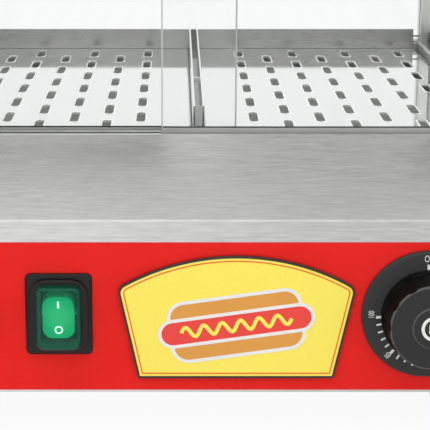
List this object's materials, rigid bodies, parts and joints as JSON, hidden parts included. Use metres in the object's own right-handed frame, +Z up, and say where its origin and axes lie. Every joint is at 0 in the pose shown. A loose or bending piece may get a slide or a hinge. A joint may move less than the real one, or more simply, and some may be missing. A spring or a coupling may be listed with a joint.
{
  "type": "hot dog steamer",
  "caption": "Countertop hot dog steamer: glass cabinet with sliding doors over slotted trays and a heated water tank, dial and rocker switch on a red front.",
  "frame": {"origin": "on the worktop, under the middle of the object's overall width and depth", "axes": "+X to the right as the user faces the controls, +Y to the back, +Z up"},
  "size_m": [0.33, 0.414, 0.4022],
  "materials": {
    "brushed_steel": "brushed",
    "bright_steel": "bright polished",
    "screw_steel": "plain zinc plated",
    "heater_tube": "dull, heat tinted",
    "aluminium_track": "satin",
    "red_overlay": "satin gloss",
    "yellow_plate": "gloss",
    "black_plastic": "fine matte",
    "green_rocker": "gloss, lit",
    "clear_cover": "soft, translucent",
    "amber_lens": "gloss, translucent",
    "clear_glass": "clear, polished",
    "black_rubber": "matte",
    "brass_fittings": "turned",
    "copper_bulb": "plain",
    "ivory_block": "matte",
    "red_lever": "dipped"
  },
  "bodies": {
    "cabinet": {"front_fascia": "brushed_steel", "left_side_panel": "brushed_steel", "right_side_panel": "brushed_steel", "rear_panel": "brushed_steel", "bottom_plate": "brushed_steel", "feet": "black_rubber", "foot_screws": "screw_steel", "panel_screws": "screw_steel", "tank_rim": "brushed_steel", "water_tank": "brushed_steel", "tray_crossbar": "brushed_steel", "tray_divider": "brushed_steel", "heating_element": "heater_tube", "element_fittings": "brass_fittings", "level_probe": "screw_steel", "overheat_cutout": "black_plastic", "terminal_block": "ivory_block", "red_panel": "red_overlay", "sign_plate": "yellow_plate", "dial_bezel": "black_plastic", "bezel_nut": "screw_steel", "thermostat_body": "black_plastic", "thermostat_bulb": "copper_bulb", "bulb_gland": "brass_fittings", "switch_frame": "black_plastic", "switch_body": "black_plastic", "switch_cover": "clear_cover", "lamp_bezel": "bright_steel", "lamp_lens": "amber_lens", "lamp_body": "black_plastic", "lower_door_track": "aluminium_track", "upper_door_track": "aluminium_track", "front_left_post": "brushed_steel", "front_right_post": "brushed_steel", "rear_left_post": "brushed_steel", "rear_right_post": "brushed_steel", "left_side_glass": "clear_glass", "right_side_glass": "clear_glass", "rear_glass": "clear_glass", "rear_glass_rail": "bright_steel", "glass_seals": "black_rubber", "ceiling_panel": "brushed_steel", "roof_panel": "brushed_steel", "roof_screws": "screw_steel", "power_inlet": "black_plastic", "inlet_pins": "screw_steel", "drain_tap": "brass_fittings"},
    "left_door": {"left_door_glass": "clear_glass", "left_door_shoe": "bright_steel", "left_door_pull": "black_plastic"},
    "right_door": {"right_door_glass": "clear_glass", "right_door_shoe": "bright_steel", "right_door_pull": "black_plastic"},
    "knob": {"thermostat_knob": "black_plastic", "thermostat_shaft": "screw_steel"},
    "rocker": {"switch_rocker": "green_rocker"},
    "left_tray_body": {"left_tray": "bright_steel"},
    "right_tray_body": {"right_tray": "bright_steel"},
    "tap_lever": {"drain_lever": "red_lever"}
  },
  "joints": [
    {"name": "left_door_slide", "type": "slide", "parent": "cabinet", "child": "left_door", "axis": [1, 0, 0], "range_m": [0, 0.125]},
    {"name": "right_door_slide", "type": "slide", "parent": "cabinet", "child": "right_door", "axis": [-1, 0, 0], "range_m": [0, 0.125]},
    {"name": "knob_turn", "type": "hinge", "parent": "cabinet", "child": "knob", "pos_m": [0.102, -0.19, 0.0582], "axis": [0, 1, 0], "range_deg": [0, 270]},
    {"name": "rocker_tip", "type": "hinge", "parent": "cabinet", "child": "rocker", "pos_m": [-0.0634, -0.183, 0.0582], "axis": [-1, 0, 0], "range_deg": [0, 16]},
    {"name": "left_tray_lift", "type": "slide", "parent": "cabinet", "child": "left_tray_body", "axis": [0, 0, 1], "range_m": [0, 0.1]},
    {"name": "right_tray_lift", "type": "slide", "parent": "cabinet", "child": "right_tray_body", "axis": [0, 0, 1], "range_m": [0, 0.1]},
    {"name": "tap_lever_turn", "type": "hinge", "parent": "cabinet", "child": "tap_lever", "pos_m": [-0.095, 0.199, 0.06], "axis": [0, 0, 1], "range_deg": [0, 90]}
  ]
}
